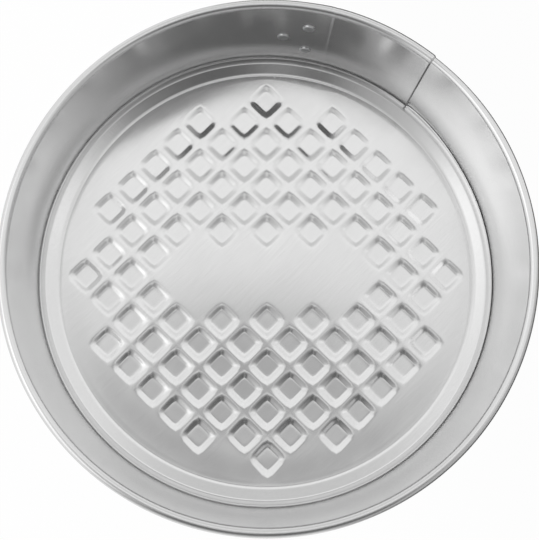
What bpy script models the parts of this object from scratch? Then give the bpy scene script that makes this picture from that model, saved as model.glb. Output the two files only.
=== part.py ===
# Springform cake pan with a loose base. Metres, +Z up.
# The pan's axis is +Z and it stands on z = 0. An azimuth is measured clockwise from +Y, seen from above.
# The rows of pressed squares in the base run along X and Y.

from math import ceil, cos, hypot, pi, radians, sin

import bmesh
import bpy
from mathutils import Matrix, Vector

# Band: one strip of sheet, rolled outward at the rim and lapped over itself at the latch
BAND_RADIUS = 0.115  # inside of the wall
BAND_HEIGHT = 0.068
BAND_SHEET = 0.0005
LAP_LENGTH = 0.0484  # how far the outer end lies over the inner end
LAP_GAP = 0.0004  # between the two layers
LAP_EASE = 0.0456  # over this length the outer layer comes back in to the wall
RIM_RADIUS = 0.0024  # outside of the rolled rim
RIM_SWEEP = radians(300)  # how far round the sheet is rolled
LAP_RIM_RADIUS = 0.0028  # where it wraps over the rim of the layer outside it
LAP_RIM_SWEEP = radians(258)
NESTED_RIM_SWEEP = radians(275)
RIM_EASE = 0.018  # over this length the rim opens up before the lap
NEST_CLEARANCE = 0.00045  # between the two rolled rims
LEDGE_DEPTH = 0.0032  # inward bead that carries the base
LEDGE_LOW = 0.0022
LEDGE_TOP = 0.00485
LEDGE_NOSE = 0.0006  # rounding of the bead
FOOT_FLARE = 0.0011
FOOT_EDGE = 0.0005
SECTION_LENGTH = 0.0105  # spacing of the band's sections round the wall
RIM_STEPS = 7

# Base: a shallow tray with pressed squares, which rests on the ledge and lifts out
BASE_SHEET = 0.0006
BASE_CLEARANCE = 0.00025  # past the rivet heads on its way out
TRAY_DEPTH = 0.00275
FLANGE_WIDTH = 0.00265
SLOPE_WIDTH = 0.0058
SLOPE_BLEND = 0.0008  # rounding at the foot and the top of the slope
BASE_SEGMENTS = 64
SQUARE_PITCH = 0.0162
SQUARE_OPENING = 0.0139
SQUARE_SLOPE = 0.0026
SQUARE_DEPTH = 0.0006
SQUARE_CORNER = 0.0022
PATTERN_MARGIN = 0.0125  # from a square's centre to the edge of the flat
LABEL_REACH = 2  # squares left out in the middle, counted from the centre

# Latch: an over-centre lever on the inner end, whose wire bail hooks a plate on the outer end
LATCH_AZIMUTH = radians(58)
LATCH_HEIGHT = 0.0343
OUTER_END = 0.0044  # from the lever pin along the wall to the band's outer end
SEAT_GAP = 0.0003  # between pieces that lie on each other
PLATE_THICKNESS = 0.001
PIN_STAND = 0.0065  # lever pin's axis out from the wall
PIN_RADIUS = 0.0015
PIN_CLEARANCE = 0.00012
PIN_HEAD_RADIUS = 0.0026
PIN_HEAD = 0.0008
EAR_REACH = 0.0034  # round the pin
EAR_SPAN = 0.0174  # over the outsides of the two ears
EAR_THICKNESS = 0.0011
SIDE_GAP = 0.0003  # between ear, cheek and pin head

RIVET_RADIUS = 0.0015
RIVET_CLEARANCE = 0.0002
RIVET_HEAD_RADIUS = 0.0029
RIVET_STAND = 0.0009  # inner head, in from the wall
RIVET_TAIL_RADIUS = 0.0025
RIVET_TAIL = 0.0008
RIVET_SEAT = 0.00025
RIVET_SEGMENTS = 12
PAIR_ALONG = -0.0065  # two rivets, from the pin along the wall
PAIR_SPREAD = 0.0274  # between them
SINGLE_ALONG = -0.0183
RIVET_MARGIN = 0.0046  # plate round a rivet

LEVER_SHEET = 0.0011
LEVER_LENGTH = 0.0455  # pin to tip, along the wall
LEVER_TIP_WIDTH = 0.0125
LEVER_WAIST = 0.0135  # from the pin, where the lever starts to taper
ROOF_GAP = 0.0004  # ear to roof
ROOF_START = 0.003
CHEEK_REACH = 0.0034  # round the pin, and in from its axis
TIP_DEPTH = 0.0016
TAB_LENGTH = 0.0075
TAB_LIFT = 0.0016

BAIL_WIRE = 0.0022
BAIL_CLEARANCE = 0.0002
BAIL_GAP = 0.00035
BAIL_CRANK = 0.0079  # bail's pivot, along the wall from the lever pin
BAIL_INSET = 0.001  # and in towards the wall
BAIL_BEND = 0.0024
BAIL_END = 0.0005  # past the inside of the cheek
HOOK_ALONG = 0.0222  # crossbar, along the wall from the lever pin

KEEPER_BEFORE = 0.0125  # plate before and after the crossbar
KEEPER_AFTER = 0.012
KEEPER_WIDTH = 0.021
KEEPER_END_WIDTH = 0.012
LUG_WIDTH = 0.015
LUG_THICKNESS = 0.0012
LUG_STAND = 0.0040
LUG_GAP = 0.0004
WELD_RADIUS = 0.0016
WELD_DEPTH = 0.0003
CORNER = 0.003

# What follows from them
LAP_STEP = BAND_SHEET + LAP_GAP
PLATE_RADIUS = BAND_RADIUS + BAND_SHEET + SEAT_GAP
KEEPER_RADIUS = BAND_RADIUS + LAP_STEP + BAND_SHEET + SEAT_GAP
PIN_AXIS = BAND_RADIUS + BAND_SHEET + PIN_STAND
OUTER_AZIMUTH = LATCH_AZIMUTH + OUTER_END / BAND_RADIUS
INNER_AZIMUTH = OUTER_AZIMUTH + LAP_LENGTH / BAND_RADIUS
FLANGE_TOP = LEDGE_TOP + SEAT_GAP + BASE_SHEET
BASE_RADIUS = BAND_RADIUS - RIVET_STAND - BASE_CLEARANCE
FLAT_RADIUS = BASE_RADIUS - FLANGE_WIDTH - SLOPE_WIDTH
PLATE_TOP = FLANGE_TOP - TRAY_DEPTH
CHEEK_INSIDE = EAR_SPAN / 2 + SIDE_GAP
CHEEK_OUTSIDE = CHEEK_INSIDE + LEVER_SHEET
HEAD_INSIDE = CHEEK_OUTSIDE + SIDE_GAP
BAIL_ARM = HEAD_INSIDE + PIN_HEAD + BAIL_GAP + BAIL_WIRE / 2
ROOF_INSIDE = EAR_REACH + ROOF_GAP
HOOK_RADIUS = KEEPER_RADIUS + PLATE_THICKNESS + BAIL_CLEARANCE + SEAT_GAP + BAIL_WIRE / 2
UP = Vector((0, 0, 1))


def clear_scene():
    for obj in list(bpy.data.objects):
        bpy.data.objects.remove(obj, do_unlink=True)


def new_collection(name):
    collection = bpy.data.collections.new(name)
    bpy.context.scene.collection.children.link(collection)
    return collection


def metal(name, colour, roughness):
    material = bpy.data.materials.new(name)
    material.use_nodes = True
    shader = material.node_tree.nodes["Principled BSDF"]
    shader.inputs["Base Color"].default_value = (*colour, 1)
    shader.inputs["Roughness"].default_value = roughness
    shader.inputs["Metallic"].default_value = 1
    return material


def add_object(name, mesh, collection, material=None, parent=None):
    """Puts a bmesh or a mesh in the scene as an object, shaded smooth except at its folds."""
    if isinstance(mesh, bmesh.types.BMesh):
        data = bpy.data.meshes.new(name)
        mesh.to_mesh(data)
        mesh.free()
    else:
        data = mesh
    data.shade_smooth()
    data.set_sharp_from_angle(angle=radians(35))
    obj = bpy.data.objects.new(name, data)
    collection.objects.link(obj)
    obj.parent = parent
    if material:
        data.materials.append(material)
    return obj


def thicken(obj, thickness, side):
    """Gives an open surface its sheet thickness, on the side its faces point to (1) or the other (-1)."""
    solid = obj.modifiers.new("sheet", "SOLIDIFY")
    solid.thickness = thickness
    solid.offset = side
    solid.use_even_offset = True
    return solid


def cut(obj, cutters, operation="DIFFERENCE"):
    for cutter in cutters:
        boolean = obj.modifiers.new(cutter.name, "BOOLEAN")
        boolean.operation = operation
        boolean.solver = "EXACT"
        boolean.object = cutter


def as_cutter(obj):
    obj.hide_render = True
    obj.display_type = "WIRE"
    return obj


def wall_point(radius, along, height):
    """In the latch's frame: a point at this radius from the pan's axis, this far along the wall from the pin."""
    turn = along / BAND_RADIUS
    return Vector((radius * sin(turn), radius * cos(turn) - PIN_AXIS, height))


def wall_matrix(radius, along, height):
    """The same place, with local Z pointing outward from the pan's axis."""
    turn = Matrix.Rotation(-along / BAND_RADIUS, 4, "Z")
    return Matrix.Translation(wall_point(radius, along, height)) @ turn @ Matrix.Rotation(-pi / 2, 4, "X")


def smooth(share):
    share = min(max(share, 0), 1)
    return share * share * (3 - 2 * share)


def mix(first, second, share):
    return [a.lerp(b, share) for a, b in zip(first, second)]


def rim_arc(wall, radius, top, sweep):
    """The rolled rim's outer side, from the wall over the top, out and down, as (out, up) points."""
    angles = [pi - sweep * step / RIM_STEPS for step in range(RIM_STEPS + 1)]
    return [Vector((wall + radius + radius * cos(a), top - radius + radius * sin(a))) for a in angles]


def foot_points(wall):
    return [
        Vector((wall + FOOT_FLARE, 0)),
        Vector((wall + FOOT_FLARE, FOOT_EDGE)),
        Vector((wall, LEDGE_LOW)),
    ]


def ledge_points():
    """The inward bead, whose flat top carries the base."""
    nose = -LEDGE_DEPTH
    back = nose + LEDGE_NOSE
    return [
        Vector((back, LEDGE_LOW + LEDGE_NOSE)),
        Vector((nose, LEDGE_LOW + 2 * LEDGE_NOSE)),
        Vector((nose, LEDGE_TOP - LEDGE_NOSE)),
        Vector((back, LEDGE_TOP)),
        Vector((0, LEDGE_TOP)),
    ]


def plain_points(wall, count):
    """A straight wall in the bead's place, as on the outer layer of the lap."""
    rise = LEDGE_TOP - LEDGE_LOW
    return [Vector((wall, LEDGE_LOW + rise * (step + 1) / count)) for step in range(count)]


def band_sections():
    """The band's profiles as (azimuth, points), from its inner end round to its outer end."""
    ledge = ledge_points()
    nested_radius = (2 * LAP_RIM_RADIUS - BAND_SHEET - NEST_CLEARANCE - LAP_STEP) / 2
    nested_top = BAND_HEIGHT - BAND_SHEET - NEST_CLEARANCE
    usual = foot_points(0) + ledge + rim_arc(0, RIM_RADIUS, BAND_HEIGHT, RIM_SWEEP)
    over = foot_points(0) + ledge + rim_arc(0, LAP_RIM_RADIUS, BAND_HEIGHT, LAP_RIM_SWEEP)
    nested = foot_points(LAP_STEP) + plain_points(LAP_STEP, len(ledge))
    nested += rim_arc(LAP_STEP, nested_radius, nested_top, NESTED_RIM_SWEEP)
    girth = 2 * pi * BAND_RADIUS
    length = girth + LAP_LENGTH
    count = ceil(length / SECTION_LENGTH)
    sections = []
    for step in range(count + 1):
        along = length * step / count
        opened = 1 - smooth((along - LAP_LENGTH - BAND_SHEET) / RIM_EASE)
        outer = smooth((along - girth + LAP_EASE) / LAP_EASE)
        points = mix(mix(usual, over, opened), nested, outer)
        sections.append((INNER_AZIMUTH - along / BAND_RADIUS, points))
    return sections


def build_band(parts, material, holes):
    sections = band_sections()
    rows = len(sections[0][1])
    bm = bmesh.new()
    bmesh.ops.create_grid(bm, x_segments=rows - 1, y_segments=len(sections) - 1, size=1)
    bm.verts.ensure_lookup_table()
    for index, vert in enumerate(bm.verts):
        azimuth, points = sections[index // rows]
        out, up = points[index % rows]
        radius = BAND_RADIUS + out
        vert.co = (radius * sin(azimuth), radius * cos(azimuth), up)
    bm.normal_update()
    band = add_object("band", bm, parts, material)
    thicken(band, BAND_SHEET, -1)
    cut(band, holes)
    return band


def base_profile():
    """From the edge of the flat up the slope and out to the flange's edge, as (radius, height) points."""
    slope_top = FLAT_RADIUS + SLOPE_WIDTH
    rise = TRAY_DEPTH * SLOPE_BLEND / SLOPE_WIDTH
    return [
        (FLAT_RADIUS + SLOPE_BLEND, PLATE_TOP + rise),
        (slope_top - SLOPE_BLEND, FLANGE_TOP - rise),
        (slope_top + SLOPE_BLEND, FLANGE_TOP),
        (BASE_RADIUS, FLANGE_TOP),
    ]


def has_square(column, row):
    in_label = abs(column + row) <= 1 and max(abs(column), abs(row)) <= LABEL_REACH
    return not in_label


def build_base(parts, material):
    """The flat is a patch of square cells, each pressed down in its middle, inside a ring."""
    reach = FLAT_RADIUS - PATTERN_MARGIN
    across = int(reach / SQUARE_PITCH)
    cells = 2 * across + 1
    bm = bmesh.new()
    size = cells * SQUARE_PITCH / 2
    at = Matrix.Translation((0, 0, PLATE_TOP))
    bmesh.ops.create_grid(bm, x_segments=cells, y_segments=cells, size=size, matrix=at)

    def cell_of(face):
        middle = face.calc_center_median()
        return round(middle.x / SQUARE_PITCH), round(middle.y / SQUARE_PITCH)

    outside = [f for f in bm.faces if hypot(*cell_of(f)) * SQUARE_PITCH > reach]
    bmesh.ops.delete(bm, geom=outside, context="FACES")
    squares = [f for f in bm.faces if has_square(*cell_of(f))]
    lane = (SQUARE_PITCH - SQUARE_OPENING) / 2
    bmesh.ops.inset_individual(bm, faces=squares, thickness=lane, use_even_offset=True)
    openings = {vert for face in squares for vert in face.verts}
    bmesh.ops.inset_individual(
        bm, faces=squares, thickness=SQUARE_SLOPE, depth=-SQUARE_DEPTH, use_even_offset=True
    )
    floors = {vert for face in squares for vert in face.verts}
    corners = [e for e in bm.edges if len(openings & set(e.verts)) == 1 and len(floors & set(e.verts)) == 1]
    bmesh.ops.bevel(
        bm, geom=corners, offset=SQUARE_CORNER, segments=1, profile=0.5, affect="EDGES", material=-1
    )

    patch = [e for e in bm.edges if e.is_boundary]
    ring = bmesh.ops.create_circle(bm, segments=BASE_SEGMENTS, radius=FLAT_RADIUS, matrix=at)
    circle = list({e for v in ring["verts"] for e in v.link_edges})
    bmesh.ops.triangle_fill(bm, edges=patch + circle, use_beauty=True, normal=UP)
    radius = FLAT_RADIUS
    height = PLATE_TOP
    for next_radius, next_height in base_profile():
        made = bmesh.ops.extrude_edge_only(bm, edges=circle)["geom"]
        verts = [g for g in made if isinstance(g, bmesh.types.BMVert)]
        circle = [g for g in made if isinstance(g, bmesh.types.BMEdge)]
        share = next_radius / radius
        bmesh.ops.scale(bm, vec=(share, share, 1), verts=verts)
        bmesh.ops.translate(bm, vec=(0, 0, next_height - height), verts=verts)
        radius = next_radius
        height = next_height
    bmesh.ops.recalc_face_normals(bm, faces=bm.faces)
    if sum(f.normal.z for f in bm.faces) < 0:
        bmesh.ops.reverse_faces(bm, faces=bm.faces)
    base = add_object("base_plate", bm, parts, material)
    thicken(base, BASE_SHEET, -1)
    return base


def rounded(points, radius, steps=3):
    """A convex outline with its corners rounded, as (along, up) pairs."""
    corners = [Vector(p) for p in points]
    outline = []
    for index, corner in enumerate(corners):
        before = (corners[index - 1] - corner).normalized()
        after = (corners[(index + 1) % len(corners)] - corner).normalized()
        half = before.angle(after) / 2
        middle = corner + (before + after).normalized() * radius / sin(half)
        start = -(before + after).normalized()
        side = 1 if before.cross(after) < 0 else -1
        spread = pi / 2 - half
        for step in range(steps + 1):
            turn = side * spread * (2 * step / steps - 1)
            outline.append(middle + radius * (Matrix.Rotation(turn, 2) @ start))
    return outline


def bent_plate(outline, radius, thickness):
    """A flat outline of (along, up) points made a plate and bent round the pan's axis."""
    bm = bmesh.new()
    face = bm.faces.new([bm.verts.new((p.x, 0, p.y)) for p in outline])
    bm.normal_update()
    if face.normal.y > 0:
        face.normal_flip()
    low = min(p.x for p in outline)
    high = max(p.x for p in outline)
    bends = ceil((high - low) / (SECTION_LENGTH / 2))
    for step in range(1, bends):
        x = low + (high - low) * step / bends
        geometry = bm.verts[:] + bm.edges[:] + bm.faces[:]
        bmesh.ops.bisect_plane(bm, geom=geometry, plane_co=(x, 0, 0), plane_no=(1, 0, 0))
    made = bmesh.ops.extrude_face_region(bm, geom=bm.faces[:], use_keep_orig=True)["geom"]
    bmesh.ops.translate(bm, vec=(0, thickness, 0), verts=[g for g in made if isinstance(g, bmesh.types.BMVert)])
    bmesh.ops.recalc_face_normals(bm, faces=bm.faces)
    bmesh.ops.triangulate(bm, faces=bm.faces)
    for vert in bm.verts:
        vert.co = wall_point(radius + vert.co.y, vert.co.x, vert.co.z)
    return bm


def radial_cutter(name, radius, near, far, along, height, cutters, frame):
    """A round punch through the wall, between two radii from the pan's axis."""
    bm = bmesh.new()
    bmesh.ops.create_cone(
        bm,
        cap_ends=True,
        segments=RIVET_SEGMENTS,
        radius1=radius,
        radius2=radius,
        depth=far - near,
        matrix=wall_matrix((near + far) / 2, along, height),
    )
    return as_cutter(add_object(name, bm, cutters, parent=frame))


def upright_cutter(name, radius, height, at, cutters, frame):
    bm = bmesh.new()
    bmesh.ops.create_cone(
        bm,
        cap_ends=True,
        segments=RIVET_SEGMENTS,
        radius1=radius,
        radius2=radius,
        depth=height,
        matrix=Matrix.Translation(at),
    )
    return as_cutter(add_object(name, bm, cutters, parent=frame))


def block(name, low, high, collection, frame):
    bm = bmesh.new()
    middle = (low + high) / 2
    size = Matrix.Diagonal((*(high - low), 1))
    bmesh.ops.create_cube(bm, size=1, matrix=Matrix.Translation(middle) @ size)
    return as_cutter(add_object(name, bm, collection, parent=frame))


def turned(name, profile, matrix, parts, material, frame):
    """A profile of (radius, height) points, top to bottom, turned about local Z."""
    mesh = bpy.data.meshes.new(name)
    points = [(radius, 0, height) for radius, height in profile]
    mesh.from_pydata(points, [(i, i + 1) for i in range(len(points) - 1)], [])
    obj = add_object(name, mesh, parts, material, frame)
    obj.matrix_local = matrix
    screw = obj.modifiers.new("turn", "SCREW")
    screw.steps = RIVET_SEGMENTS
    screw.render_steps = RIVET_SEGMENTS
    screw.use_merge_vertices = True
    screw.merge_threshold = 0.00001
    screw.use_smooth_shade = True
    return obj


def anchor_rivets():
    """Each rivet's name, place along the wall and height above the latch's middle."""
    return (
        ("anchor_rivet_upper", PAIR_ALONG, PAIR_SPREAD / 2),
        ("anchor_rivet_lower", PAIR_ALONG, -PAIR_SPREAD / 2),
        ("anchor_rivet_left", SINGLE_ALONG, 0),
    )


def build_rivet(name, along, height, parts, material, frame):
    """A low domed head inside the pan, a shank, and a flatter formed head outside the plate."""
    crown = RIVET_STAND
    seat = RIVET_SEAT
    tail = -(BAND_SHEET + SEAT_GAP + PLATE_THICKNESS + RIVET_SEAT)
    dome = crown - seat
    profile = [
        (0, crown),
        (RIVET_HEAD_RADIUS * 0.55, crown - dome * 0.16),
        (RIVET_HEAD_RADIUS * 0.88, crown - dome * 0.5),
        (RIVET_HEAD_RADIUS, seat),
        (RIVET_RADIUS, seat),
        (RIVET_RADIUS, tail),
        (RIVET_TAIL_RADIUS, tail),
        (RIVET_TAIL_RADIUS * 0.8, tail - RIVET_TAIL),
        (0, tail - RIVET_TAIL),
    ]
    inward = wall_matrix(BAND_RADIUS, along, height) @ Matrix.Rotation(pi, 4, "X")
    return turned(name, profile, inward, parts, material, frame)


def build_anchor_plate(parts, material, holes, cutters, frame):
    """A plate that narrows to its single rivet, with two ears that stand out round the lever pin."""
    tall = PAIR_SPREAD / 2 + RIVET_MARGIN
    right = OUTER_END - 2 * SEAT_GAP
    left = SINGLE_ALONG - RIVET_MARGIN
    top = [(left, RIVET_MARGIN), (PAIR_ALONG - RIVET_MARGIN, tall), (PAIR_ALONG + RIVET_MARGIN, tall)]
    top.append((right, EAR_SPAN / 2 + CORNER))
    outline = top + [(along, -up) for along, up in reversed(top)]
    bm = bent_plate(rounded(outline, CORNER), PLATE_RADIUS, PLATE_THICKNESS)
    plate = add_object("anchor_plate", bm, parts, material, frame)
    root = PLATE_RADIUS + PLATE_THICKNESS / 2 - PIN_AXIS
    for side in (1, -1):
        ear = bmesh.new()
        bend = [(EAR_REACH * cos(pi * step / 8), EAR_REACH * sin(pi * step / 8)) for step in range(9)]
        outline = [(EAR_REACH, root)] + bend + [(-EAR_REACH, root)]
        face = ear.faces.new([ear.verts.new((x, y, side * EAR_SPAN / 2)) for x, y in outline])
        made = bmesh.ops.extrude_face_region(ear, geom=[face], use_keep_orig=True)["geom"]
        verts = [g for g in made if isinstance(g, bmesh.types.BMVert)]
        bmesh.ops.translate(ear, vec=(0, 0, -side * EAR_THICKNESS), verts=verts)
        bmesh.ops.recalc_face_normals(ear, faces=ear.faces)
        name = "ear_upper" if side > 0 else "ear_lower"
        cut(plate, [as_cutter(add_object(name, ear, cutters, parent=frame))], "UNION")
    pin_hole = upright_cutter(
        "ear_bore", PIN_RADIUS + PIN_CLEARANCE, 2 * EAR_SPAN, Vector((0, 0, 0)), cutters, frame
    )
    cut(plate, holes + [pin_hole])
    return plate


def build_lever_pin(parts, material, frame):
    head = HEAD_INSIDE + PIN_HEAD
    profile = [
        (0, head),
        (PIN_HEAD_RADIUS * 0.8, head),
        (PIN_HEAD_RADIUS, head - PIN_HEAD * 0.4),
        (PIN_HEAD_RADIUS, HEAD_INSIDE),
        (PIN_RADIUS, HEAD_INSIDE),
    ]
    profile += [(radius, -height) for radius, height in reversed(profile)]
    return turned("lever_pin", profile, Matrix.Identity(4), parts, material, frame)


def lever_stations():
    """Along the lever: (distance along the wall, half width, cheek's edge, roof) with radii from the pin's axis."""
    half = CHEEK_OUTSIDE
    tip_half = LEVER_TIP_WIDTH / 2
    roof = ROOF_INSIDE + LEVER_SHEET
    ends = [
        (CHEEK_REACH, half, -CHEEK_REACH * 0.3, CHEEK_REACH * 0.3),
        (CHEEK_REACH * 0.72, half, -CHEEK_REACH * 0.72, CHEEK_REACH * 0.85),
        (0, half, -CHEEK_REACH, roof),
        (-BAIL_CRANK, half, -CHEEK_REACH, roof),
        (-LEVER_WAIST, half, -CHEEK_REACH, roof),
    ]
    tab = LEVER_LENGTH - TAB_LENGTH
    for step in range(1, 6):
        share = step / 5
        along = LEVER_WAIST + (tab - LEVER_WAIST) * share
        width = half + (tip_half - half) * along / LEVER_LENGTH * 0.9
        edge = -CHEEK_REACH + (roof - TIP_DEPTH - LEVER_SHEET + CHEEK_REACH) * smooth(share)
        ends.append((-along, width, edge, roof))
    lifted = roof + TAB_LIFT
    ends.append((-(tab + TAB_LENGTH / 2), tip_half, lifted - TIP_DEPTH - TAB_LIFT * 0.4, roof + TAB_LIFT * 0.4))
    ends.append((-LEVER_LENGTH, tip_half * 0.72, lifted - TIP_DEPTH, lifted))
    return ends


def build_lever(parts, material, cutters, frame):
    """A pressed channel that lies along the wall: two cheeks on the pin, a roof, and a lifted finger tab."""
    stations = lever_stations()
    fold = LEVER_SHEET
    bm = bmesh.new()
    rows = 7
    bmesh.ops.create_grid(bm, x_segments=rows - 1, y_segments=len(stations) - 1, size=1)
    bm.verts.ensure_lookup_table()
    for index, vert in enumerate(bm.verts):
        along, half, edge, roof = stations[index // rows]
        section = [
            (half, edge),
            (half, roof - fold),
            (half - fold, roof),
            (0, roof),
            (fold - half, roof),
            (-half, roof - fold),
            (-half, edge),
        ]
        height, out = section[index % rows]
        vert.co = wall_point(PIN_AXIS + out, along, height)
    bmesh.ops.recalc_face_normals(bm, faces=bm.faces)
    lever = add_object("lever", bm, parts, material, frame)
    thicken(lever, LEVER_SHEET, -1)
    far = 2 * CHEEK_OUTSIDE
    slot = block(
        "lever_slot",
        Vector((-ROOF_START, -far, -CHEEK_INSIDE)),
        Vector((far, far, CHEEK_INSIDE)),
        cutters,
        frame,
    )
    pin_bore = upright_cutter(
        "lever_bore", PIN_RADIUS + PIN_CLEARANCE, 2 * far, Vector((0, 0, 0)), cutters, frame
    )
    bail_bore = upright_cutter(
        "bail_bore", BAIL_WIRE / 2 + BAIL_CLEARANCE, 2 * far, bail_pivot(), cutters, frame
    )
    cut(lever, [slot, pin_bore, bail_bore])
    return lever


def bail_pivot():
    return wall_point(PIN_AXIS - BAIL_INSET, -BAIL_CRANK, 0)


def hook_point():
    return wall_point(HOOK_RADIUS, HOOK_ALONG, 0)


def bent_wire(corners, radius, steps=3):
    """Points along a wire through these corners, with a bend of this radius at each inner one."""
    path = [corners[0]]
    for before, corner, after in zip(corners, corners[1:], corners[2:]):
        back = (before - corner).normalized()
        on = (after - corner).normalized()
        half = back.angle(on) / 2
        middle = corner + (back + on).normalized() * radius / sin(half)
        normal = back.cross(on).normalized()
        start = corner + back * radius * cos(half) / sin(half) - middle
        for step in range(steps + 1):
            turn = -(pi - 2 * half) * step / steps
            path.append(middle + Matrix.Rotation(turn, 3, normal) @ start)
    path.append(corners[-1])
    return path


def build_bail(parts, material, frame):
    """A wire loop: its ends turn in through the lever's cheeks, its crossbar lies behind the keeper's lug."""
    pivot = bail_pivot()
    hook = hook_point() - pivot
    end = CHEEK_INSIDE - BAIL_END
    corners = [
        Vector((0, 0, end)),
        Vector((0, 0, BAIL_ARM)),
        hook + UP * BAIL_ARM,
        hook - UP * BAIL_ARM,
        Vector((0, 0, -BAIL_ARM)),
        Vector((0, 0, -end)),
    ]
    path = bent_wire(corners, BAIL_BEND)
    curve = bpy.data.curves.new("bail", "CURVE")
    curve.dimensions = "3D"
    curve.bevel_depth = BAIL_WIRE / 2
    curve.bevel_resolution = 2
    curve.use_fill_caps = True
    spline = curve.splines.new("POLY")
    spline.points.add(len(path) - 1)
    for point, place in zip(spline.points, path):
        point.co = (*place, 1)
    curve.materials.append(material)
    bail = bpy.data.objects.new("bail", curve)
    parts.objects.link(bail)
    bail.parent = frame
    bail.location = pivot
    return bail


def build_keeper(parts, material, cutters, frame):
    """A plate welded to the outer layer, with a lug bent out of it that holds the bail's crossbar."""
    hook = hook_point()
    half = KEEPER_WIDTH / 2
    end = KEEPER_END_WIDTH / 2
    start = HOOK_ALONG - KEEPER_BEFORE
    finish = HOOK_ALONG + KEEPER_AFTER
    outline = [(start, -half), (HOOK_ALONG, -half), (finish, -end), (finish, end), (HOOK_ALONG, half), (start, half)]
    bm = bent_plate(rounded(outline, CORNER), KEEPER_RADIUS, PLATE_THICKNESS)
    plate = add_object("keeper_plate", bm, parts, material, frame)
    face = KEEPER_RADIUS + PLATE_THICKNESS
    right = hook.x - BAIL_WIRE / 2 - LUG_GAP
    root = wall_point(KEEPER_RADIUS + PLATE_THICKNESS / 2, HOOK_ALONG, 0).y
    low = Vector((right - LUG_THICKNESS, root, -LUG_WIDTH / 2))
    high = Vector((right, root + PLATE_THICKNESS / 2 + LUG_STAND, LUG_WIDTH / 2))
    window_low = Vector((low.x - LUG_STAND, root - BAIL_WIRE, low.z))
    window_high = Vector((low.x, high.y, high.z))
    cut(plate, [block("lug_window", window_low, window_high, cutters, frame)])
    cut(plate, [block("lug", low, high, cutters, frame)], "UNION")
    welds = []
    for along in (start + CORNER, HOOK_ALONG + CORNER):
        for up in (-half / 2 - CORNER / 2, half / 2 + CORNER / 2):
            if along > HOOK_ALONG:
                up *= 0.6
            near = face - WELD_DEPTH
            far = face + PLATE_THICKNESS
            name = f"weld_{len(welds)}"
            welds.append(radial_cutter(name, WELD_RADIUS, near, far, along, up, cutters, frame))
    cut(plate, welds)
    return plate


def main():
    clear_scene()
    parts = new_collection("cake_pan")
    cutters = new_collection("cutters")
    tinplate = metal("tinplate", (0.72, 0.72, 0.71), 0.32)
    base_tin = metal("embossed_tinplate", (0.74, 0.74, 0.73), 0.3)
    plated = metal("plated_steel", (0.66, 0.66, 0.66), 0.28)
    wire = metal("steel_wire", (0.6, 0.6, 0.6), 0.25)

    frame = bpy.data.objects.new("latch_frame", None)
    parts.objects.link(frame)
    frame.location = (PIN_AXIS * sin(LATCH_AZIMUTH), PIN_AXIS * cos(LATCH_AZIMUTH), LATCH_HEIGHT)
    frame.rotation_euler = (0, 0, -LATCH_AZIMUTH)

    near = BAND_RADIUS - LEDGE_DEPTH
    far = PIN_AXIS
    hole = RIVET_RADIUS + RIVET_CLEARANCE
    holes = [
        radial_cutter(f"{name}_hole", hole, near, far, along, height, cutters, frame)
        for name, along, height in anchor_rivets()
    ]
    build_band(parts, tinplate, holes)
    build_base(parts, base_tin)
    build_anchor_plate(parts, plated, holes, cutters, frame)
    for name, along, height in anchor_rivets():
        build_rivet(name, along, height, parts, plated, frame)
    build_lever_pin(parts, plated, frame)
    build_lever(parts, plated, cutters, frame)
    build_bail(parts, wire, frame)
    build_keeper(parts, plated, cutters, frame)


main()
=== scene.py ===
from math import atan2, ceil, cos, exp, hypot, pi, radians, sin, tan

import bmesh
import bpy
from mathutils import Matrix, Vector, noise


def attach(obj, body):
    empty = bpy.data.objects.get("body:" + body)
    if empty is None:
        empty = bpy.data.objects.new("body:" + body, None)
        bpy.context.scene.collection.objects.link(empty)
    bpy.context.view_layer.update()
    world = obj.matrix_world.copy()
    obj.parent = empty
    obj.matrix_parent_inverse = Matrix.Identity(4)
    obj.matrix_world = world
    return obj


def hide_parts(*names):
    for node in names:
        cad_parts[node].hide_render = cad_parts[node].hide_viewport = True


bpy.context.scene.view_settings.view_transform = "Standard"
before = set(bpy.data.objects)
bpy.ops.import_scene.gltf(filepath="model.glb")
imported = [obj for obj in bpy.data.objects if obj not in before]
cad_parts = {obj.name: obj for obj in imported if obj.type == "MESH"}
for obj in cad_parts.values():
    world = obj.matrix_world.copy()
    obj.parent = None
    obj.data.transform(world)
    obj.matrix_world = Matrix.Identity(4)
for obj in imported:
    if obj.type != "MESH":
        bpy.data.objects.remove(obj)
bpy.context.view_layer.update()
photoTurn = radians(-45)  # the photo's upward direction lies between +X and +Y
latchAzimuth = radians(58)  # clockwise from +Y, as every azimuth here


def linear(hexColour):
    values = [int(hexColour[i:i + 2], 16) / 255 for i in (1, 3, 5)]
    return [v / 12.92 if v <= 0.04045 else ((v + 0.055) / 1.055) ** 2.4 for v in values] + [1]


def addNode(tree, kind, values=None, links=None, **settings):
    node = tree.nodes.new(kind)
    for key, value in settings.items():
        setattr(node, key, value)
    for key, value in (values or {}).items():
        node.inputs[key].default_value = value
    for key, source in (links or {}).items():
        tree.links.new(source, node.inputs[key])
    return node


def ease(share):
    # a smooth step from 0 to 1
    share = min(max(share, 0), 1)
    return share * share * (3 - 2 * share)


def roundCorners(corners):
    # (out, up, radius, steps) corners to points; each corner with a radius becomes an arc
    points = []
    for i, (x, y, radius, steps) in enumerate(corners):
        here = Vector((x, y))
        if radius == 0:
            points.append(here)
            continue
        back = (Vector(corners[i - 1][:2]) - here).normalized()
        on = (Vector(corners[i + 1][:2]) - here).normalized()
        half = back.angle(on) / 2
        middle = here + (back + on).normalized() * radius / sin(half)
        first = here + back * radius / tan(half) - middle
        last = here + on * radius / tan(half) - middle
        turn = first.angle_signed(last)
        for step in range(steps + 1):
            points.append(middle + Matrix.Rotation(-turn * step / steps, 2) @ first)
    return points


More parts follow.
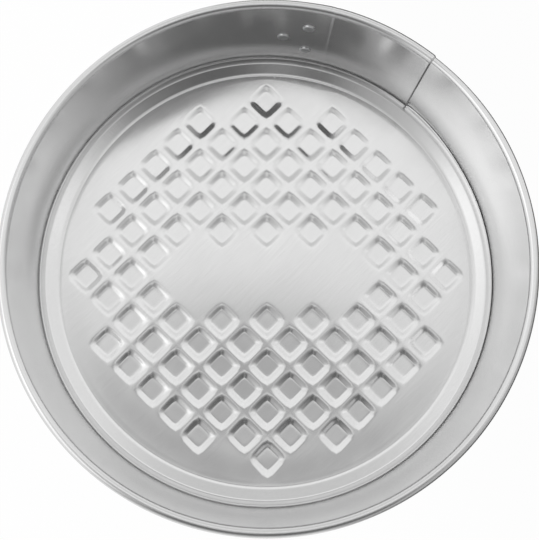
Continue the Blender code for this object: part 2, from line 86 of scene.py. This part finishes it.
def addPiece(name, bm, material, body, node, sharp=35):
    mesh = bpy.data.meshes.new(name)
    bm.to_mesh(mesh)
    bm.free()
    mesh.shade_smooth()
    mesh.set_sharp_from_angle(angle=radians(sharp))
    mesh.materials.append(material)
    piece = bpy.data.objects.new(name, mesh)
    bpy.context.scene.collection.objects.link(piece)
    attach(piece, body)
    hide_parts(node)
    return piece


def keepFlat(piece):
    flat = piece.modifiers.new("flat faces stay flat", "WEIGHTED_NORMAL")
    flat.keep_sharp = True


def makeSheet(piece, thickness):
    # the modelled surface is the inner or upper side of the sheet
    sheet = piece.modifiers.new("sheet", "SOLIDIFY")
    sheet.thickness = thickness
    sheet.offset = -1
    sheet.use_even_offset = True
    keepFlat(piece)


plating = {
    "lineDark": 0.965, "lineLight": 1.02, "lineRelief": 0.25, "lineDepth": 0.00001,
    "cloudSize": 0.03, "cloudBright": 0.85, "cloudDull": 1.2,  # slow changes of sheen across the sheet
    "scoreSpacing": 0.0005,  # real die scores are finer; they are drawn this far apart to show
    "scoreRelief": 0.6, "scoreDepth": 0.00003, "scoreFade": 0.0012,
}


def platedMetal(name, colour, roughness, grain, along=(1, 1, 1), coords="Object", brushed=0, drawn=None):
    # a satin mirror with faint hairlines, grain metres apart and stretched by along
    material = bpy.data.materials.new(name)
    material.use_nodes = True
    tree = material.node_tree
    shader = tree.nodes["Principled BSDF"]
    shader.inputs["Metallic"].default_value = 1
    place = addNode(tree, "ShaderNodeTexCoord")
    stretched = addNode(tree, "ShaderNodeMapping", {"Scale": along}, {"Vector": place.outputs[coords]})
    hairlines = addNode(
        tree, "ShaderNodeTexNoise", {"Scale": 1 / grain, "Detail": 3.0, "Roughness": 0.6},
        {"Vector": stretched.outputs["Vector"]},
    )
    cloudy = addNode(
        tree, "ShaderNodeTexNoise", {"Scale": 1 / plating["cloudSize"], "Detail": 4.0, "Roughness": 0.55},
        {"Vector": place.outputs[coords]},
    )
    tone = addNode(
        tree, "ShaderNodeMapRange",
        {"From Min": 0.3, "From Max": 0.7, "To Min": plating["lineDark"], "To Max": plating["lineLight"]},
        {"Value": hairlines.outputs["Fac"]},
    )
    tint = addNode(
        tree, "ShaderNodeMix", {"Factor": 1.0}, data_type="RGBA", blend_type="MULTIPLY", clamp_result=True,
    )
    tint.inputs[6].default_value = linear(colour)  # 6, 7 and 2 are a Mix node's colour sockets
    tree.links.new(tone.outputs["Result"], tint.inputs[7])
    tree.links.new(tint.outputs[2], shader.inputs["Base Color"])
    bright, dull = roughness * plating["cloudBright"], roughness * plating["cloudDull"]
    clouded = addNode(
        tree, "ShaderNodeMapRange", {"From Min": 0.3, "From Max": 0.72, "To Min": bright, "To Max": dull},
        {"Value": cloudy.outputs["Fac"]},
    )
    tree.links.new(clouded.outputs["Result"], shader.inputs["Roughness"])
    relief = addNode(
        tree, "ShaderNodeBump", {"Strength": plating["lineRelief"], "Distance": plating["lineDepth"]},
        {"Height": hairlines.outputs["Fac"]},
    )
    tree.links.new(relief.outputs["Normal"], shader.inputs["Normal"])
    if drawn:  # the die leaves fine radial scores between two radii
        inner, outer = drawn
        fade = plating["scoreFade"]
        apart = addNode(tree, "ShaderNodeSeparateXYZ", {}, {0: place.outputs["Object"]})
        azimuth = addNode(
            tree, "ShaderNodeMath", {}, {0: apart.outputs["X"], 1: apart.outputs["Y"]}, operation="ARCTAN2"
        )
        flat = addNode(tree, "ShaderNodeCombineXYZ", {}, {"X": apart.outputs["X"], "Y": apart.outputs["Y"]})
        reach = addNode(tree, "ShaderNodeVectorMath", {}, {0: flat.outputs["Vector"]}, operation="LENGTH")
        polar = addNode(
            tree, "ShaderNodeCombineXYZ", {}, {"X": azimuth.outputs["Value"], "Y": reach.outputs["Value"]}
        )
        scores = addNode(
            tree, "ShaderNodeTexNoise", {"Scale": outer / plating["scoreSpacing"], "Detail": 2.0},
            {"Vector": polar.outputs["Vector"]},
        )
        within = addNode(
            tree, "ShaderNodeMapRange",
            {"From Min": inner, "From Max": inner + fade, "To Min": 0, "To Max": 1},
            {"Value": reach.outputs["Value"]},
        )
        before = addNode(
            tree, "ShaderNodeMapRange",
            {"From Min": outer - fade, "From Max": outer, "To Min": 1, "To Max": 0},
            {"Value": reach.outputs["Value"]},
        )
        mask = addNode(
            tree, "ShaderNodeMath", {}, {0: within.outputs["Result"], 1: before.outputs["Result"]},
            operation="MULTIPLY",
        )
        height = addNode(
            tree, "ShaderNodeMath", {}, {0: scores.outputs["Fac"], 1: mask.outputs["Value"]},
            operation="MULTIPLY",
        )
        scored = addNode(
            tree, "ShaderNodeBump", {"Strength": plating["scoreRelief"], "Distance": plating["scoreDepth"]},
            {"Height": height.outputs["Value"], "Normal": relief.outputs["Normal"]},
        )
        tree.links.new(scored.outputs["Normal"], shader.inputs["Normal"])
    if brushed:  # the rolling lines smear reflections across the strip
        tangent = addNode(tree, "ShaderNodeTangent", direction_type="UV_MAP", uv_map="strip")
        tree.links.new(tangent.outputs["Tangent"], shader.inputs["Tangent"])
        shader.inputs["Anisotropic"].default_value = brushed
        shader.inputs["Anisotropic Rotation"].default_value = 0.25
    return material


# bright electrolytic tinplate, cold rolled: a mirror that is smeared across the strip, with lines along it.
# Real rolling lines are finer than these 0.4 mm, which is as coarse as they need to be to show.
bandTin = platedMetal(
    "rolled tinplate", "#E5E5E5", roughness=0.20, grain=0.0004, along=(0.03, 1, 1), coords="UV", brushed=0.75,
)
# the same sheet after pressing: the die irons it to a clearer mirror, and scores the slope of the raised edge
baseTin = platedMetal(
    "pressed tinplate", "#E5E5E5", roughness=0.15, grain=0.0004, along=(0.04, 1, 1), drawn=(0.1056, 0.1119),
)
# bright zinc over pressed steel: bluer and darker than tin, with a fine even grain and no direction
zincSteel = platedMetal("zinc-plated pressed steel", "#CBCDCF", roughness=0.16, grain=0.0005)
# small parts are plated in a barrel, which dulls them, so a highlight spreads over the whole head
rivetSteel = platedMetal("tumbled zinc-plated steel", "#E2E3E4", roughness=0.34, grain=0.0005)
# plated wire drawn through a die: greyer, with long soft highlights
wireSteel = platedMetal("drawn steel wire", "#BFC1C4", roughness=0.24, grain=0.0003)
print("materials made")


band = {
    "wallRadius": 0.115, "height": 0.06799, "sheet": 0.0005,
    # the outer end stands this far past the latch's pin, and the inner end a lap further
    "pastPin": 0.0044, "lap": 0.0484, "lapStep": 0.0009, "lapEase": 0.0456,
    "rim": 0.00234, "rimSweep": radians(300), "rimSteps": 26,
    "lapRim": 0.00254, "lapRimSweep": radians(258), "rimEase": 0.018,
    "nestedRim": 0.00184, "nestedTop": 0.0671, "nestedSweep": radians(275),
    "beadDepth": 0.0032, "beadLow": 0.0021, "beadTop": 0.00485, "beadRound": 0.00125, "footRound": 0.0008,
    "footEase": 0.0015,  # the bead fades out this close to the lap
    "flare": 0.0011, "flareLow": 0.0004, "flareTop": 0.0018, "edgeRound": 0.0003, "flareRound": 0.0004,
    "wallRows": 9, "sectionEvery": 0.0026,
    "endTurn": 0.00036, "endTurnWidth": 0.0007,  # the free end is turned back a little
    "ghost": 0.00011, "ghostWidth": 0.0008,  # the outer end shows through as a faint ridge
    # thin sheet is never quite flat: depth, length and height of long and of short waves between foot and rim
    "wave": 0.00014, "waveLength": 0.030, "waveHeight": 0.12, "shortWave": 0.4, "shortLength": 0.011,
    "shortHeight": 0.09, "waveFrom": 0.006, "waveFull": 0.014, "waveBack": 0.060, "waveTo": 0.066,
    "longSeed": 3.1, "shortSeed": 8.7, "outerCalm": 0.8,  # the riveted outer layer lies flatter
    "rollSpread": 0.1,  # the roll's share of the map, in metres, so that its lines stay apart
    "oval": 0.0009, "ovalAzimuth": radians(90),  # the springy rim stands a little out of round
}


def rimArc(wall, radius, top, sweep):
    steps = band["rimSteps"]
    angles = [pi - sweep * step / steps for step in range(steps + 1)]
    return [Vector((wall + radius + radius * cos(a), top - radius + radius * sin(a))) for a in angles]


def risingWall(wall, low, high):
    rows = band["wallRows"]
    return [Vector((wall, low + (high - low) * row / rows)) for row in range(1, rows)]


def bandProfiles():
    # out from the wall and up, from foot to roll: the single layer, the lap's inner layer with its wider
    # roll, its outer layer with a smaller roll nested in that one, and the plain foot at the outer end
    flare, depth = band["flare"], band["beadDepth"]
    foot = roundCorners([
        (flare, 0, 0, 0), (flare, band["flareLow"], band["edgeRound"], 2),
        (0, band["flareTop"], band["flareRound"], 3),
        (-depth, band["beadLow"], band["beadRound"], 6), (-depth, band["beadTop"], band["beadRound"], 6),
        (0, band["beadTop"], band["footRound"], 5), (0, band["height"], 0, 0),
    ])[:-1]
    wallLow = foot[-1].y
    start = band["height"] - band["rim"]
    usual = foot + risingWall(0, wallLow, start)
    usual += rimArc(0, band["rim"], band["height"], band["rimSweep"])
    start = band["height"] - band["lapRim"]
    over = foot + risingWall(0, wallLow, start)
    over += rimArc(0, band["lapRim"], band["height"], band["lapRimSweep"])
    step = band["lapStep"]
    footCount = 4  # points of the flared edge
    straight = []
    for i, point in enumerate(foot):
        if i < footCount:
            straight.append(point + Vector((step, 0)))
        else:
            share = (i - footCount + 1) / (len(foot) - footCount)
            straight.append(Vector((step, foot[footCount - 1].y * (1 - share) + wallLow * share)))
    start = band["nestedTop"] - band["nestedRim"]
    nested = [point + Vector((step, 0)) for point in foot] + risingWall(step, wallLow, start)
    nested += rimArc(step, band["nestedRim"], band["nestedTop"], band["nestedSweep"])
    return usual, over, nested, straight


def bandStations(length):
    # where the strip has its sections, closer at the turned end and at the ridge
    count = ceil(length / band["sectionEvery"])
    stations = {length * i / count for i in range(count + 1)}
    stations |= {band["endTurnWidth"] * i / 5 for i in range(6)}
    stations |= {band["lap"] + band["ghostWidth"] * i / 2 for i in range(-4, 5)}
    return sorted(stations)


def makeBand():
    usual, over, nested, straight = bandProfiles()
    radius = band["wallRadius"]
    girth = 2 * pi * radius
    innerEnd = latchAzimuth + (band["pastPin"] + band["lap"]) / radius
    rollMiddle = Vector((band["lapRim"], band["height"] - band["lapRim"]))
    length = girth + band["lap"]
    stations = bandStations(length)
    rows = len(usual)
    bm = bmesh.new()
    bmesh.ops.create_grid(bm, x_segments=rows - 1, y_segments=len(stations) - 1, size=1)
    bm.verts.ensure_lookup_table()
    uvs = {}
    for index, vert in enumerate(bm.verts):
        along, row = stations[index // rows], index % rows
        inner = 1 - ease((along - band["lap"] - band["sheet"]) / band["rimEase"])
        outer = ease((along - girth + band["lapEase"]) / band["lapEase"])
        place = usual[row].lerp(over[row], inner).lerp(nested[row], outer)
        if row < len(straight):
            place = place.lerp(straight[row], ease((along - girth + band["footEase"]) / band["footEase"]))
        out, height = place
        inWall = ease((height - band["waveFrom"]) / (band["waveFull"] - band["waveFrom"]))
        inWall *= ease((band["waveTo"] - height) / (band["waveTo"] - band["waveBack"]))
        long = Vector((along / band["waveLength"], height / band["waveHeight"], band["longSeed"]))
        short = Vector((along / band["shortLength"], height / band["shortHeight"], band["shortSeed"]))
        wave = noise.noise(long)
        wave += band["shortWave"] * noise.noise(short)
        out += band["wave"] * wave * inWall * (1 - band["outerCalm"] * outer)
        turned = band["endTurn"] * (1 - ease(along / band["endTurnWidth"]))
        if row < rows - band["rimSteps"]:
            out += turned
        else:
            out, height = place + (rollMiddle - place).normalized() * turned
        out -= band["ghost"] * exp(-((along - band["lap"]) / band["ghostWidth"]) ** 2)
        azimuth = innerEnd - along / radius
        pinch = (1 - cos(2 * (azimuth - band["ovalAzimuth"]))) / 2
        out -= band["oval"] * pinch * height / band["height"]
        vert.co = ((radius + out) * sin(azimuth), (radius + out) * cos(azimuth), height)
        uvs[vert] = (along, height + band["rollSpread"] * (row > rows - band["rimSteps"]) * row / rows)
    layer = bm.loops.layers.uv.new("strip")
    for face in bm.faces:
        for loop in face.loops:
            loop[layer].uv = uvs[loop.vert]
    piece = addPiece("bandShell", bm, bandTin, "band_body", "band", sharp=40)
    makeSheet(piece, band["sheet"])


makeBand()
print("band made")


base = {
    "sheet": 0.0006, "radius": 0.11385, "flangeTop": 0.0058, "plateTop": 0.0030,
    # each square's cage, which subdivision rounds off
    "pitch": 0.0162, "opening": 0.0133, "slope": 0.0021, "depth": 0.0006, "hold": 0.0008,
    "crown": 0.00012, "cornerHold": 0.42, "fineness": 2,
    "patternReach": 0.0929, "bareReach": 2,
    # the disc rises a little towards its edge, less in one low stretch
    "rise": 0.00055, "riseFrom": 0.089, "lowAzimuth": radians(15), "lowWidth": radians(34), "lowShare": 0.75,
    "fieldReach": 0.1011, "fieldEdge": 0.00008, "ringRows": 7, "ringRadius": 0.1036,
    "slopeFoot": 0.1060, "slopeHead": 0.1113, "headHeight": 0.0056, "footRound": 0.0055, "headRound": 0.0022,
}


def hasSquare(column, row):
    # a bare field lies along one diagonal of the lattice
    return not (abs(column + row) <= 1 and max(abs(column), abs(row)) <= base["bareReach"])


def pressSquares(bm, squares):
    # each square is inset three times: to the web's edge, down the slope, and on the flat floor, which
    # keeps the slope's foot in place; the corners are creased
    creases = bm.edges.layers.float["crease_edge"]
    crossings = [v for v in bm.verts if len(set(squares).intersection(v.link_faces)) == 4]
    for inwards, down in (
        ((base["pitch"] - base["opening"]) / 2, 0), (base["slope"], base["depth"]), (base["hold"], 0),
    ):
        corners = {v for f in squares for v in f.verts}
        made = bmesh.ops.inset_individual(
            bm, faces=squares, thickness=inwards, depth=-down, use_even_offset=True
        )["faces"]
        for edge in {e for f in made for e in f.edges}:
            if len(corners & set(edge.verts)) == 1:
                edge[creases] = base["cornerHold"]
    for vert in crossings:  # the web is crowned where four squares meet
        vert.co.z += base["crown"]


def subdivided(bm, levels):
    # Catmull-Clark rounding, taken into the mesh so that the ring round the field stays truly round
    mesh = bpy.data.meshes.new("cage")
    bm.to_mesh(mesh)
    bm.free()
    cage = bpy.data.objects.new("cage", mesh)
    bpy.context.scene.collection.objects.link(cage)
    rounding = cage.modifiers.new("rounding", "SUBSURF")
    rounding.levels = rounding.render_levels = levels
    rounding.boundary_smooth = "PRESERVE_CORNERS"
    rounded = bmesh.new()
    rounded.from_object(cage, bpy.context.evaluated_depsgraph_get())
    bpy.data.objects.remove(cage)
    bpy.data.meshes.remove(mesh)
    return rounded


def edgeRise(x, y):
    azimuth = atan2(x, y) - base["lowAzimuth"]
    low = 1 - ease(abs((azimuth + pi) % (2 * pi) - pi) / base["lowWidth"])
    share = (hypot(x, y) - base["riseFrom"]) / (base["ringRadius"] - base["riseFrom"])
    return base["rise"] * (1 - base["lowShare"] * low) * min(max(share, 0), 1) ** 2


def makeBase():
    pitch, top = base["pitch"], base["plateTop"]
    cells = 2 * int(base["patternReach"] / pitch) + 1
    bm = bmesh.new()
    bmesh.ops.create_grid(
        bm, x_segments=cells, y_segments=cells, size=cells * pitch / 2,
        matrix=Matrix.Translation((0, 0, top)),
    )
    bm.edges.layers.float.new("crease_edge")

    def cellOf(face):
        middle = face.calc_center_median()
        return round(middle.x / pitch), round(middle.y / pitch)

    outside = [f for f in bm.faces if hypot(*cellOf(f)) * pitch > base["patternReach"]]
    bmesh.ops.delete(bm, geom=outside, context="FACES")
    pressSquares(bm, [f for f in bm.faces if hasSquare(*cellOf(f))])
    bm = subdivided(bm, base["fineness"])
    outline = [e for e in bm.edges if e.is_boundary]
    for vert in bm.verts:  # the field's outermost corners are rounded off
        reach = base["fieldReach"] - (0 if vert.is_boundary else base["fieldEdge"])
        if hypot(vert.co.x, vert.co.y) > reach:
            vert.co.x, vert.co.y = Vector((vert.co.x, vert.co.y)).normalized() * reach

    # a plain ring round the pressed field
    made = bmesh.ops.extrude_edge_only(bm, edges=outline)["geom"]
    loop = [g for g in made if isinstance(g, bmesh.types.BMEdge)]
    onLoop = {v for e in loop for v in e.verts}
    spokes = [e for v in onLoop for e in v.link_edges if e.other_vert(v) not in onLoop]
    for vert in onLoop:
        grow = base["ringRadius"] / hypot(vert.co.x, vert.co.y)
        vert.co = (vert.co.x * grow, vert.co.y * grow, top)
    bmesh.ops.subdivide_edges(bm, edges=spokes, cuts=base["ringRows"], use_grid_fill=True)
    loop = [e for e in bm.edges if e.is_boundary]
    profile = roundCorners([
        (base["ringRadius"], top, 0, 0), (base["slopeFoot"], top, base["footRound"], 6),
        (base["slopeHead"], base["headHeight"], base["headRound"], 5),
        (base["radius"], base["flangeTop"], 0, 0),
    ])[1:]
    # the raised edge, a ring for each point of its section
    radius = base["ringRadius"]
    for nextRadius, height in profile:
        made = bmesh.ops.extrude_edge_only(bm, edges=loop)["geom"]
        loop = [g for g in made if isinstance(g, bmesh.types.BMEdge)]
        verts = [g for g in made if isinstance(g, bmesh.types.BMVert)]
        bmesh.ops.scale(bm, vec=(nextRadius / radius, nextRadius / radius, 1), verts=verts)
        for vert in verts:
            vert.co.z = height
        radius = nextRadius
    for vert in bm.verts:  # the rise fades out up the raised edge
        left = 1 - ease((vert.co.z - top) / (base["flangeTop"] - top))
        vert.co.z += left * edgeRise(vert.co.x, vert.co.y)
    bmesh.ops.recalc_face_normals(bm, faces=bm.faces)
    if sum(f.normal.z for f in bm.faces) < 0:
        bmesh.ops.reverse_faces(bm, faces=bm.faces)
    piece = addPiece("basePlate", bm, baseTin, "base_body", "base_plate", sharp=60)
    makeSheet(piece, base["sheet"])


makeBase()
print("base made")


latch = {
    "height": 0.0343, "wall": band["wallRadius"], "pinRadius": 0.122, "turnSteps": 40,
    # along the wall and up from the pin
    "rivets": {"upper": (-0.0065, 0.0137), "lower": (-0.0065, -0.0137), "left": (-0.0183, 0.0)},
    # of a rivet: radii, and heights from the wall towards the pan's axis
    "headRadius": 0.0029, "headCrown": 0.0009, "headEdge": 0.00086, "headRound": 0.00066, "headSeat": 0.00018,
    "shank": 0.0015, "tailRadius": 0.0025, "tailNear": -0.00205, "tailEdge": -0.00275, "tailFar": -0.00285,
    "tailRound": 0.0005, "tailTaper": 0.0001,
    # of the pin, each end from its middle
    "pinHeight": 0.0112, "pinHead": 0.0026, "pinNeck": 0.0104, "pinShank": 0.0015, "pinRound": 0.0004,
    # of the bail, out from the pan's axis and along the wall
    "pivot": (0.121, -0.0079), "hook": (0.1193, 0.0222),
    "wire": 0.0011, "wireBend": 0.0024, "bendSteps": 8, "wireSides": 20,
    "wireEnd": 0.0085, "wireArm": 0.01265,  # up and down from the middle, of its ends and of its arms
    "plateEdge": 0.00025, "leverEdge": 0.0003, "edgeSegments": 3,  # of the broken edges
}


def onWall(radius, along, height=0):
    azimuth = latchAzimuth + along / latch["wall"]
    return Vector((radius * sin(azimuth), radius * cos(azimuth), latch["height"] + height))


def turnProfile(corners, place):
    points = roundCorners(corners)
    bm = bmesh.new()
    verts = [bm.verts.new((point.x, 0, point.y)) for point in points]
    edges = [bm.edges.new(pair) for pair in zip(verts, verts[1:])]
    bmesh.ops.spin(
        bm, geom=verts + edges, axis=(0, 0, 1), cent=(0, 0, 0), angle=2 * pi, steps=latch["turnSteps"],
        use_merge=True,
    )
    bmesh.ops.remove_doubles(bm, verts=bm.verts, dist=0.000001)
    bmesh.ops.recalc_face_normals(bm, faces=bm.faces)
    bmesh.ops.transform(bm, matrix=place, verts=bm.verts)
    return bm


def makeRivet(name, along, height):
    # a low domed head inside the pan, the shank, and the flattened tail outside the plate
    head, shank, tail = latch["headRadius"], latch["shank"], latch["tailRadius"]
    corners = [
        (0, latch["headCrown"], 0, 0), (head, latch["headEdge"], latch["headRound"], 6),
        (head, latch["headSeat"], 0, 0), (shank, latch["headSeat"], 0, 0),
        (shank, latch["tailNear"], 0, 0), (tail, latch["tailNear"], 0, 0),
        (tail - latch["tailTaper"], latch["tailEdge"], latch["tailRound"], 4), (0, latch["tailFar"], 0, 0),
    ]
    facing = Matrix.Rotation(-latchAzimuth - along / latch["wall"], 4, "Z")
    facing = facing @ Matrix.Rotation(pi / 2, 4, "X")
    place = Matrix.Translation(onWall(latch["wall"], along, height)) @ facing
    bm = turnProfile(corners, place)
    addPiece(name + "Rivet", bm, rivetSteel, "band_body", "anchor_rivet_" + name)


def makePin():
    top = [
        (0, latch["pinHeight"], 0, 0), (latch["pinHead"], latch["pinHeight"], latch["pinRound"], 4),
        (latch["pinHead"], latch["pinNeck"], 0, 0), (latch["pinShank"], latch["pinNeck"], 0, 0),
    ]
    bottom = [(radius, -height, bend, steps) for radius, height, bend, steps in reversed(top)]
    bm = turnProfile(top + bottom, Matrix.Translation(onWall(latch["pinRadius"], 0)))
    addPiece("leverPin", bm, zincSteel, "band_body", "lever_pin")


def bentPath(corners, radius):
    # the corners of a wire's centre line, with each bend as an arc
    path = [corners[0]]
    for before, corner, after in zip(corners, corners[1:], corners[2:]):
        back, on = (before - corner).normalized(), (after - corner).normalized()
        half = back.angle(on) / 2
        middle = corner + (back + on).normalized() * radius / sin(half)
        start = corner + back * radius / tan(half) - middle
        for step in range(latch["bendSteps"] + 1):
            turned = Matrix.Rotation(-(pi - 2 * half) * step / latch["bendSteps"], 3, back.cross(on))
            path.append(middle + turned @ start)
    return path + [corners[-1]]


def makeBail():
    # one wire loop: both ends turn in through the lever's cheeks, the crossbar lies behind the lug
    pivot, hook = onWall(*latch["pivot"]), onWall(*latch["hook"])
    end, arm = Vector((0, 0, latch["wireEnd"])), Vector((0, 0, latch["wireArm"]))
    corners = [pivot + end, pivot + arm, hook + arm, hook - arm, pivot - arm, pivot - end]
    path = bentPath(corners, latch["wireBend"])
    bm = bmesh.new()
    made = bmesh.ops.create_circle(bm, cap_ends=True, segments=latch["wireSides"], radius=latch["wire"])
    verts = made["verts"]
    loop = list({e for v in verts for e in v.link_edges})
    facing = (path[1] - path[0]).normalized()
    start = Matrix.Translation(path[0]) @ facing.to_track_quat("Z", "Y").to_matrix().to_4x4()
    bmesh.ops.transform(bm, matrix=start, verts=verts)
    for before, here, after in zip(path, path[1:], path[2:] + [2 * path[-1] - path[-2]]):
        made = bmesh.ops.extrude_edge_only(bm, edges=loop)["geom"]
        verts = [g for g in made if isinstance(g, bmesh.types.BMVert)]
        loop = [g for g in made if isinstance(g, bmesh.types.BMEdge)]
        onward = ((here - before).normalized() + (after - here).normalized()).normalized()
        turned = facing.rotation_difference(onward).to_matrix().to_4x4()
        bmesh.ops.transform(
            bm, matrix=Matrix.Translation(here) @ turned @ Matrix.Translation(-before), verts=verts
        )
        facing = onward
    bmesh.ops.edgeloop_fill(bm, edges=loop)
    bmesh.ops.recalc_face_normals(bm, faces=bm.faces)
    addPiece("bailWire", bm, wireSteel, "bail_body", "bail", sharp=50)


def refinePlate(node, name, body, rounding):
    # the pressed plate as it is, with its edges broken as after tumbling
    bm = bmesh.new()
    bm.from_mesh(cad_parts[node].data)
    bmesh.ops.remove_doubles(bm, verts=bm.verts, dist=0.000001)
    bmesh.ops.dissolve_limit(bm, angle_limit=radians(0.5), verts=bm.verts, edges=bm.edges)
    piece = addPiece(name, bm, zincSteel, body, node)
    broken = piece.modifiers.new("broken edges", "BEVEL")
    broken.width = rounding
    broken.segments = latch["edgeSegments"]
    broken.limit_method = "ANGLE"
    broken.angle_limit = radians(35)
    broken.use_clamp_overlap = True
    keepFlat(piece)


for name, (along, height) in latch["rivets"].items():
    makeRivet(name, along, height)
makePin()
makeBail()
refinePlate("anchor_plate", "anchorPlate", "band_body", latch["plateEdge"])
refinePlate("keeper_plate", "keeperPlate", "band_body", latch["plateEdge"])
refinePlate("lever", "latchLever", "lever_body", latch["leverEdge"])
print("latch made")


studio = {
    "focalPixels": 889, "imageWidth": 539,
    "camera": (-0.0097, -0.0528, 0.4528), "tilt": (7.07, -1.38, -0.22),  # in the photo's axes
    "level": 0.90, "darkest": 0.13,  # of the light all round
    # direction in the photo's axes, how far it stretches in x and y, its full and its outer reach, and the
    # strength that it adds or, as a dark panel, takes away
    "panels": (
        ((0.0, 0.27, 0.96), (2, 1), 0.10, 0.24, 0.10),  # softbox overhead
        ((-0.62, 0.05, 0.78), (1, 1.5), 0.15, 0.30, 0.34),  # window side
        ((-0.64, -0.30, 0.71), (1, 1), 0.24, 0.40, 0.33),
        ((0.0, 0.0, 1.0), (1.8, 1), 0.05, 0.12, -0.47),  # the camera itself
        ((-0.22, -0.26, 0.94), (1, 1), 0.14, 0.24, -0.45),  # and its stand
        ((0.24, -0.25, 0.93), (1, 1), 0.17, 0.27, -0.36),
        ((0.50, -0.86, 0.0), (1, 1), 1.05, 1.30, -0.40),  # the room's dim side
        ((0.0, -0.68, 0.73), (1.4, 1), 0.26, 0.38, -0.42),
        ((0.0, -0.41, 0.91), (1, 1), 0.12, 0.25, -0.34),
        ((0.48, -0.15, 0.87), (1, 1), 0.10, 0.24, 0.28),  # white card opposite the window
        ((-0.41, -0.13, 0.90), (1, 1), 0.10, 0.24, 0.18),
        ((0.0, 0.66, 0.75), (1.5, 1), 0.20, 0.38, -0.22),
    ),
    # a painted shadow of the pan darkens the table's colour on this side, between these distances and down to
    # this share of its colour
    "shadeSide": (0.97, 0.24), "shadeFrom": -0.02, "shadeTo": 0.12, "shadeLeast": 0.10,
    "tableColour": 0.9, "tableWhite": 0.98,
    "tableRadius": 3, "tableDrop": 0.0003,
}

turn = Matrix.Rotation(photoTurn, 4, "Z")
tiltX, tiltY, tiltZ = (radians(a) for a in studio["tilt"])
cameraData = bpy.data.cameras.new("camera")
cameraData.sensor_fit = "HORIZONTAL"
cameraData.sensor_width = 36
cameraData.lens = 36 * studio["focalPixels"] / studio["imageWidth"]
cameraData.clip_start = 0.01
camera = bpy.data.objects.new("camera", cameraData)
bpy.context.scene.collection.objects.link(camera)
look = Matrix.Rotation(tiltZ, 4, "Z") @ Matrix.Rotation(tiltY, 4, "Y") @ Matrix.Rotation(tiltX, 4, "X")
camera.matrix_world = turn @ Matrix.Translation(studio["camera"]) @ look
bpy.context.scene.camera = camera

# the room's light, which the camera itself sees as plain white
world = bpy.data.worlds.new("studio")
bpy.context.scene.world = world
world.use_nodes = True
tree = world.node_tree
direction = addNode(tree, "ShaderNodeTexCoord")
turned = addNode(
    tree, "ShaderNodeMapping", {"Rotation": (0, 0, -photoTurn)}, {"Vector": direction.outputs["Generated"]},
)
total = addNode(tree, "ShaderNodeValue")
total.outputs[0].default_value = studio["level"]
light = total.outputs[0]
for towards, (wide, high), near, far, strength in studio["panels"]:  # each one adds to the light so far
    offset = addNode(
        tree, "ShaderNodeVectorMath", {1: Vector(towards).normalized()}, {0: turned.outputs["Vector"]},
        operation="SUBTRACT",
    )
    fitted = addNode(
        tree, "ShaderNodeVectorMath", {1: (1 / wide, 1 / high, 1)}, {0: offset.outputs["Vector"]},
        operation="MULTIPLY",
    )
    away = addNode(tree, "ShaderNodeVectorMath", {}, {0: fitted.outputs["Vector"]}, operation="LENGTH")
    fall = addNode(
        tree, "ShaderNodeMapRange",
        {"From Min": near, "From Max": far, "To Min": strength, "To Max": 0},
        {"Value": away.outputs["Value"]}, interpolation_type="SMOOTHSTEP",
    )
    light = addNode(tree, "ShaderNodeMath", {}, {0: light, 1: fall.outputs["Result"]}).outputs[0]
light = addNode(tree, "ShaderNodeMath", {1: studio["darkest"]}, {0: light}, operation="MAXIMUM").outputs[0]
seen = addNode(tree, "ShaderNodeLightPath").outputs["Is Camera Ray"]
shown = addNode(tree, "ShaderNodeMix", {"B": 1.0}, {"Factor": seen, "A": light}, data_type="FLOAT")
tree.links.new(shown.outputs["Result"], tree.nodes["Background"].inputs["Strength"])
tree.nodes["Background"].inputs["Color"].default_value = (1, 1, 1, 1)

# the table is white to the camera, and in the metal's reflections it carries a painted shadow of the pan on
# one side
paper = bpy.data.materials.new("white paper sweep")
paper.use_nodes = True
tree = paper.node_tree
tree.nodes.remove(tree.nodes["Principled BSDF"])
rays = addNode(tree, "ShaderNodeLightPath")
direct = addNode(
    tree, "ShaderNodeMath", {}, {0: rays.outputs["Is Camera Ray"], 1: rays.outputs["Is Glossy Ray"]},
    operation="MAXIMUM",
)
share = addNode(
    tree, "ShaderNodeMath", {1: studio["tableWhite"]}, {0: direct.outputs[0]}, operation="MULTIPLY"
)
place = addNode(tree, "ShaderNodeTexCoord")
towardsShade = turn @ Vector((*studio["shadeSide"], 0))
paintedShadowReach = addNode(
    tree, "ShaderNodeVectorMath", {1: towardsShade}, {0: place.outputs["Object"]}, operation="DOT_PRODUCT"
)
# painted shadow: the table's colour and glow fall off towards the shade side
tone = addNode(
    tree, "ShaderNodeMapRange",
    {
        "From Min": studio["shadeFrom"], "From Max": studio["shadeTo"],
        "To Min": studio["tableColour"], "To Max": studio["tableColour"] * studio["shadeLeast"],
    },
    {"Value": paintedShadowReach.outputs["Value"]}, interpolation_type="SMOOTHSTEP",
)
matt = addNode(tree, "ShaderNodeBsdfDiffuse", {}, {"Color": tone.outputs["Result"]})
# the camera sees plain white; reflections see the glow with the painted shadow in it
shown = addNode(
    tree, "ShaderNodeMath", {}, {0: rays.outputs["Is Camera Ray"], 1: tone.outputs["Result"]},
    operation="MAXIMUM",
)
white = addNode(tree, "ShaderNodeEmission", {}, {"Strength": shown.outputs[0]})
both = addNode(
    tree, "ShaderNodeMixShader", {}, {0: share.outputs[0], 1: matt.outputs[0], 2: white.outputs[0]}
)
tree.links.new(both.outputs[0], tree.nodes["Material Output"].inputs["Surface"])
bm = bmesh.new()
bmesh.ops.create_circle(
    bm, cap_ends=True, segments=96, radius=studio["tableRadius"],
    matrix=Matrix.Translation((0, 0, -studio["tableDrop"])),
)
mesh = bpy.data.meshes.new("floor")
bm.to_mesh(mesh)
bm.free()
mesh.materials.append(paper)
floor = bpy.data.objects.new("floor", mesh)
bpy.context.scene.collection.objects.link(floor)
print("studio made")
